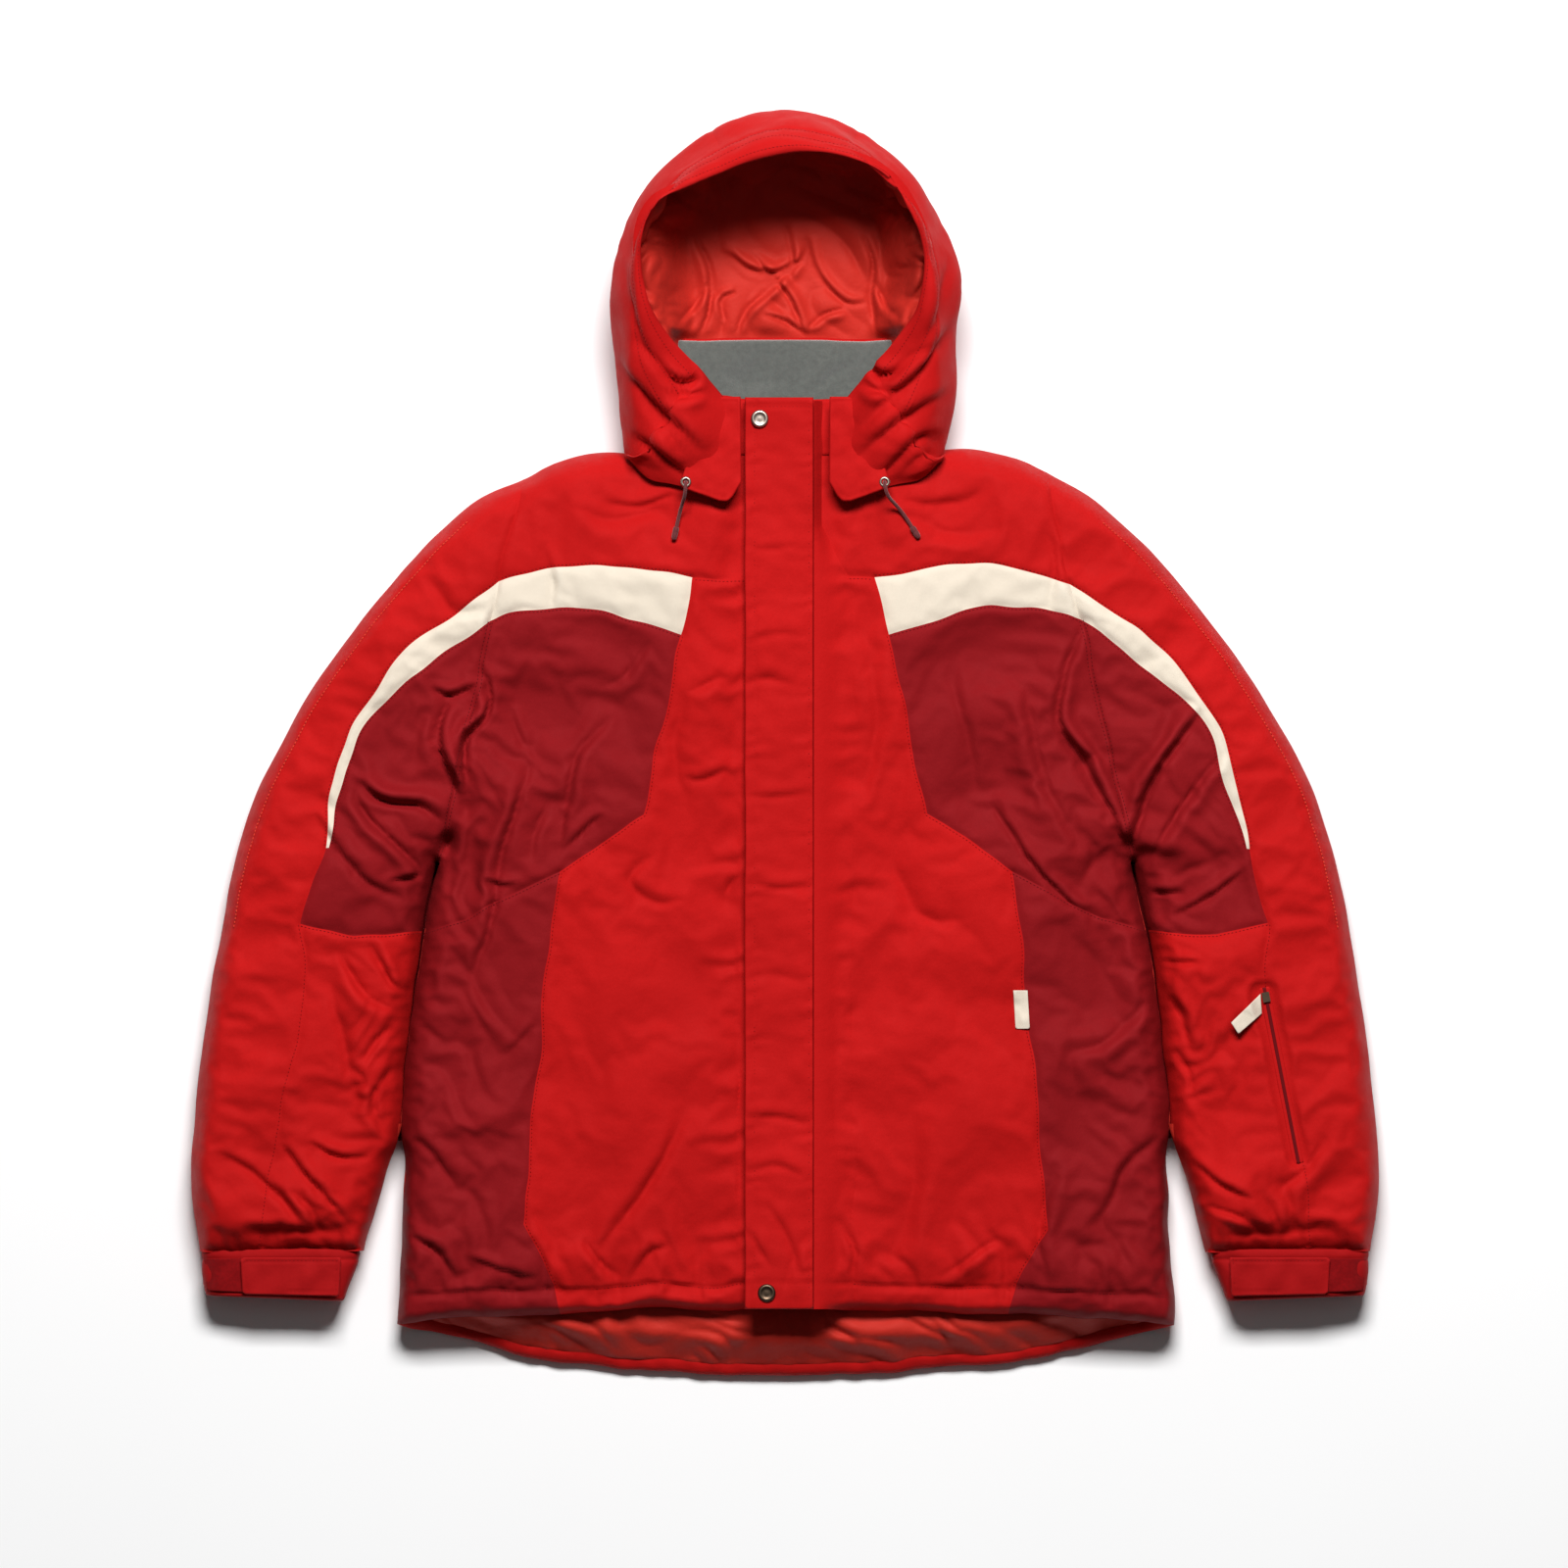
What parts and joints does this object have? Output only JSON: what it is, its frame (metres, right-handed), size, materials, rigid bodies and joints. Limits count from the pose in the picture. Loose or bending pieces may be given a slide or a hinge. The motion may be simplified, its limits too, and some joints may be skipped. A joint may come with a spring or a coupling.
{
  "type": "ski jacket",
  "caption": "Insulated hooded ski jacket laid flat on its back, zipped, with storm flap, cuff tabs, fleece collar and a zipped sleeve pocket.",
  "frame": {"origin": "middle of the base of the bounding box, on the surface the jacket lies on", "axes": "+X towards the wearer's left sleeve, +Y towards the hood, +Z out of the jacket's front"},
  "size_m": [1.0306, 1.0978, 0.1455],
  "materials": {
    "red_shell": "woven nylon, dull with a soft sheen",
    "dark_shell": "woven nylon, dull with a soft sheen",
    "cream_trim": "smooth coated cloth",
    "fleece": "brushed fleece",
    "lining": "shiny taffeta",
    "cuff_cloth": "woven nylon, doubled and topstitched",
    "hook_and_loop": "looped pile",
    "zip_tape": "woven tape with moulded teeth",
    "cord": "braided cord",
    "pale_metal": "satin nickel",
    "dark_metal": "burnished gunmetal"
  },
  "bodies": {
    "torso": {"back_panel": "red_shell", "back_lining": "lining", "right_front_yoke": "red_shell", "left_front_yoke": "red_shell", "right_chest_stripe": "cream_trim", "left_chest_stripe": "cream_trim", "right_chest_panel": "dark_shell", "left_chest_panel": "dark_shell", "right_front_panel": "red_shell", "left_front_panel": "red_shell", "right_side_panel": "dark_shell", "left_side_panel": "dark_shell", "right_front_lining": "lining", "left_front_lining": "lining", "right_collar_front": "red_shell", "left_collar_front": "red_shell", "right_throat_flap": "red_shell", "left_throat_flap": "red_shell", "right_zip_tape": "zip_tape", "left_zip_tape": "zip_tape", "right_eyelet": "pale_metal", "left_eyelet": "pale_metal", "right_drawcord": "cord", "left_drawcord": "cord", "right_cord_tip": "cord", "left_cord_tip": "cord", "pocket_flag_tab": "cream_trim", "top_snap_stud": "dark_metal", "bottom_snap_stud": "dark_metal"},
    "storm_flap": {"storm_flap": "red_shell", "top_snap_cap": "pale_metal", "bottom_snap_cap": "dark_metal"},
    "zip_slider": {"zip_slider": "dark_metal", "zip_pull": "dark_metal"},
    "hood": {"hood_centre_panel": "red_shell", "right_hood_panel": "red_shell", "left_hood_panel": "red_shell", "hood_brim": "red_shell", "hood_lining": "lining", "collar_back": "red_shell", "collar_fleece": "fleece"},
    "right_sleeve": {"right_outer_sleeve": "red_shell", "right_sleeve_stripe": "cream_trim", "right_under_sleeve": "dark_shell", "right_forearm": "red_shell", "right_sleeve_back": "red_shell", "right_cuff": "cuff_cloth", "right_loop_patch": "hook_and_loop"},
    "left_sleeve": {"left_outer_sleeve": "red_shell", "left_sleeve_stripe": "cream_trim", "left_under_sleeve": "dark_shell", "left_forearm": "red_shell", "left_sleeve_back": "red_shell", "left_cuff": "cuff_cloth", "left_loop_patch": "hook_and_loop", "sleeve_pocket_zip": "zip_tape"},
    "right_cuff_tab": {"right_cuff_tab": "cuff_cloth"},
    "left_cuff_tab": {"left_cuff_tab": "cuff_cloth"},
    "pocket_slider": {"sleeve_pocket_slider": "dark_metal", "sleeve_pocket_tab": "cream_trim"}
  },
  "joints": [
    {"name": "storm_flap_hinge", "type": "hinge", "parent": "torso", "child": "storm_flap", "pos_m": [0.0245, 0, 0.0725], "axis": [0, 1, 0], "range_deg": [0, 135]},
    {"name": "front_zip_slide", "type": "slide", "parent": "torso", "child": "zip_slider", "axis": [0, -1, 0], "range_m": [0, 0.74]},
    {"name": "hood_fold", "type": "hinge", "parent": "torso", "child": "hood", "pos_m": [0, 0.25, 0.088], "axis": [1, 0, 0], "range_deg": [0, 150]},
    {"name": "right_sleeve_fold", "type": "hinge", "parent": "torso", "child": "right_sleeve", "pos_m": [-0.2265, 0.2345, 0.07], "axis": [0.22, 0.9755, 0], "range_deg": [0, 165]},
    {"name": "left_sleeve_fold", "type": "hinge", "parent": "torso", "child": "left_sleeve", "pos_m": [0.2265, 0.2345, 0.07], "axis": [0.22, -0.9755, 0], "range_deg": [0, 165]},
    {"name": "right_cuff_tab_hinge", "type": "hinge", "parent": "right_sleeve", "child": "right_cuff_tab", "pos_m": [-0.392, -0.458, 0.0494], "axis": [0, 1, 0], "range_deg": [0, 120]},
    {"name": "left_cuff_tab_hinge", "type": "hinge", "parent": "left_sleeve", "child": "left_cuff_tab", "pos_m": [0.392, -0.458, 0.0494], "axis": [0, -1, 0], "range_deg": [0, 120]},
    {"name": "sleeve_pocket_zip_slide", "type": "slide", "parent": "left_sleeve", "child": "pocket_slider", "axis": [0.1922, -0.9814, 0], "range_m": [0, 0.13]}
  ]
}
